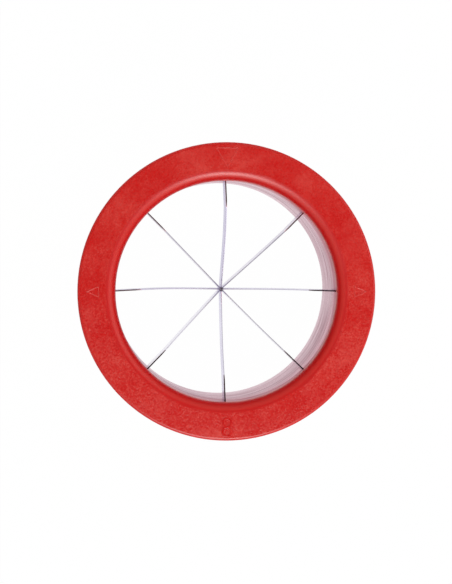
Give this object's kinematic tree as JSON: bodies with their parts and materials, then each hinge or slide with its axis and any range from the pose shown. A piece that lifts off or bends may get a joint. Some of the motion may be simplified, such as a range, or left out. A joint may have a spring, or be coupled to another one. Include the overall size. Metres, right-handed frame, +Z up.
{
  "type": "wedger blade cup",
  "caption": "Blade cup of a fruit wedger: a red moulded collar with a wide flange on a slotted steel sleeve, crossed by thin ground blades that part a fruit into wedges.",
  "frame": {"origin": "centre of the sleeve's foot, the surface that the cup stands on", "axes": "+Z up along the sleeve's axis to the flange's face, +X along the strip whose lap is uppermost"},
  "size_m": [0.123, 0.123, 0.057],
  "materials": {
    "collar_plastic": "red moulded plastic with a fine spark-eroded texture",
    "sleeve_steel": "stainless steel, brushed around the axis",
    "blade_steel": "stainless strip, polished faces and ground edges"
  },
  "bodies": {
    "root": {"collar": "collar_plastic", "sleeve": "sleeve_steel", "blade_1": "blade_steel", "blade_2": "blade_steel", "blade_3": "blade_steel", "blade_4": "blade_steel"}
  },
  "joints": []
}
